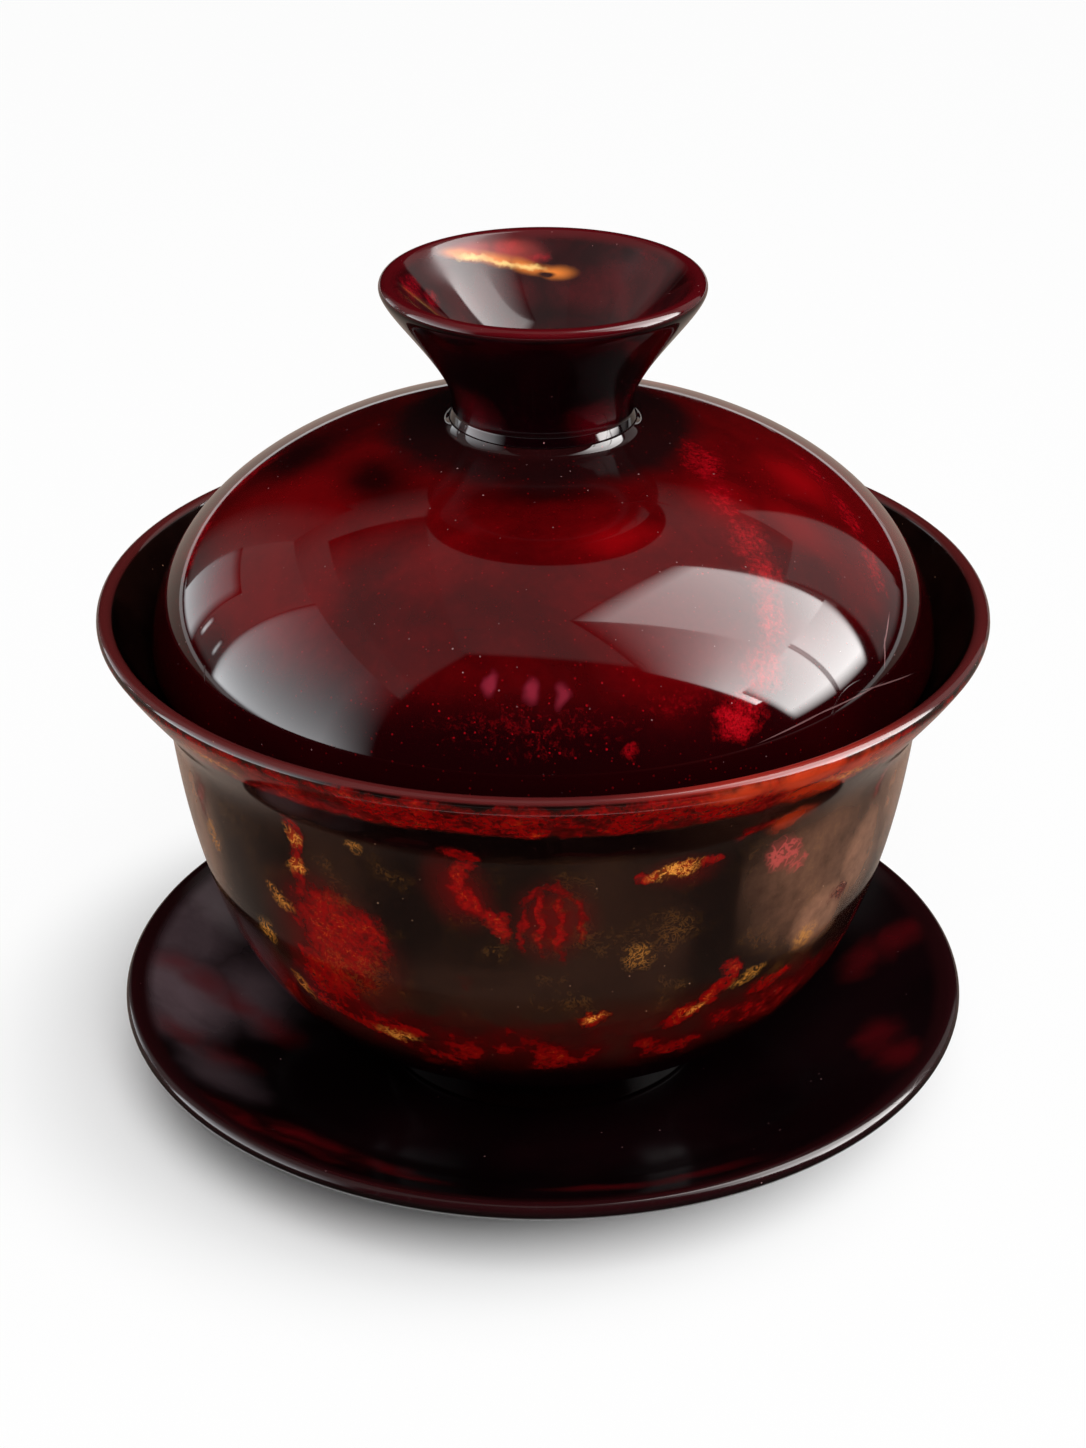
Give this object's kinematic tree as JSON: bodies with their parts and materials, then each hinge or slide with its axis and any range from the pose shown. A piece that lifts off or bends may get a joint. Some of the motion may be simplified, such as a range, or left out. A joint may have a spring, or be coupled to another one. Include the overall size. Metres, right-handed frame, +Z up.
{
  "type": "lidded tea bowl",
  "caption": "Turned amber tea bowl with a flared rim, standing on a saucer, with a domed lid that seats inside the flare and lifts by a cup-shaped knob.",
  "frame": {"origin": "centre of the saucer's foot ring, on the surface it stands on", "axes": "+Z up along the turning axis that all the pieces share"},
  "size_m": [0.1, 0.1, 0.0987],
  "materials": {
    "saucer_amber": "polished",
    "bowl_amber": "polished",
    "lid_amber": "polished",
    "knob_amber": "polished"
  },
  "bodies": {
    "saucer": {"saucer": "saucer_amber"},
    "bowl": {"bowl": "bowl_amber"},
    "lid": {"lid": "lid_amber", "lid_knob": "knob_amber"}
  },
  "joints": [
    {"name": "bowl_lift", "type": "slide", "parent": "saucer", "child": "bowl", "axis": [0, 0, 1], "range_m": [0, 0.04]},
    {"name": "lid_lift", "type": "slide", "parent": "bowl", "child": "lid", "axis": [0, 0, 1], "range_m": [0, 0.06]}
  ]
}
